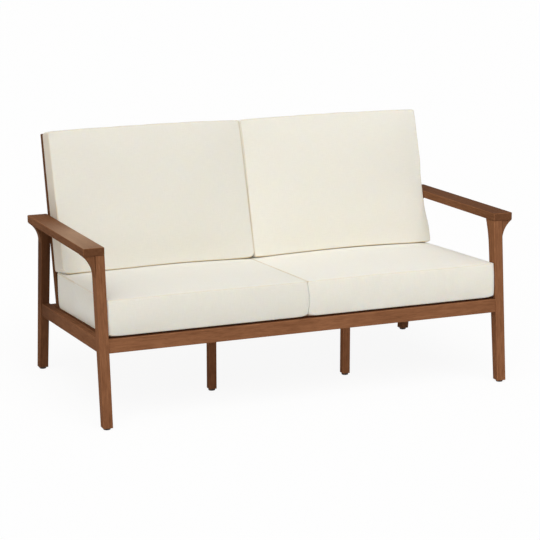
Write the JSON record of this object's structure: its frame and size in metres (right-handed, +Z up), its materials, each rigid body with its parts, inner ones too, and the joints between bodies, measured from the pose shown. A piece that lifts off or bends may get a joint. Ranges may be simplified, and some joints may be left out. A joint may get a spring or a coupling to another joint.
{
  "type": "patio bench",
  "caption": "Two-seat wooden patio bench with open arms, a slatted seat and back, and loose boxed seat and back cushions.",
  "frame": {"origin": "on the floor, under the middle of the bench's overall box", "axes": "+X along the bench to its right-hand end as seen from the front, +Y towards its back, +Z up"},
  "size_m": [1.422, 0.733, 0.7977],
  "materials": {
    "wood": "satin",
    "cover": "matte",
    "foam": "matte",
    "glide": "matte",
    "steel": "satin",
    "brass": "satin",
    "dowel": "matte"
  },
  "bodies": {
    "frame": {"armrest_left": "wood", "armrest_right": "wood", "back_bolts": "steel", "back_bottom_rail": "wood", "back_slat_1": "wood", "back_slat_2": "wood", "back_slat_3": "wood", "back_slat_4": "wood", "back_slat_5": "wood", "back_slat_6": "wood", "back_slat_7": "wood", "back_slat_8": "wood", "back_slat_9": "wood", "back_stile_left": "wood", "back_stile_right": "wood", "back_top_rail": "wood", "bolt_inserts": "brass", "centre_glide_left": "glide", "centre_glide_right": "glide", "centre_leg_left": "wood", "centre_leg_right": "wood", "cross_bearer_left": "wood", "cross_bearer_right": "wood", "frame_dowels": "dowel", "front_corbel_left": "wood", "front_corbel_right": "wood", "front_glide_left": "glide", "front_glide_right": "glide", "front_leg_left": "wood", "front_leg_right": "wood", "front_rail": "wood", "glide_screws": "steel", "rear_corbel_left": "wood", "rear_corbel_right": "wood", "rear_glide_left": "glide", "rear_glide_right": "glide", "rear_leg_left": "wood", "rear_leg_right": "wood", "rear_rail": "wood", "seat_screws": "steel", "seat_slat_1": "wood", "seat_slat_2": "wood", "seat_slat_3": "wood", "seat_slat_4": "wood", "seat_slat_5": "wood", "seat_slat_6": "wood", "seat_slat_7": "wood", "side_rail_left": "wood", "side_rail_right": "wood", "slat_cleat_left": "wood", "slat_cleat_right": "wood"},
    "seat_cushion_left": {"seat_cushion_left_cover": "cover", "seat_cushion_left_core": "foam"},
    "seat_cushion_right": {"seat_cushion_right_cover": "cover", "seat_cushion_right_core": "foam"},
    "back_cushion_left": {"back_cushion_left_cover": "cover", "back_cushion_left_core": "foam"},
    "back_cushion_right": {"back_cushion_right_cover": "cover", "back_cushion_right_core": "foam"}
  },
  "joints": [
    {"name": "seat_cushion_left_slide", "type": "slide", "parent": "frame", "child": "seat_cushion_left", "axis": [0, -0.9982, 0.0593], "range_m": [0, 0.45]},
    {"name": "back_cushion_left_lift", "type": "slide", "parent": "frame", "child": "back_cushion_left", "axis": [0, 0.2385, 0.9711], "range_m": [0, 0.4]},
    {"name": "seat_cushion_right_slide", "type": "slide", "parent": "frame", "child": "seat_cushion_right", "axis": [0, -0.9982, 0.0593], "range_m": [0, 0.45]},
    {"name": "back_cushion_right_lift", "type": "slide", "parent": "frame", "child": "back_cushion_right", "axis": [0, 0.2385, 0.9711], "range_m": [0, 0.4]}
  ]
}
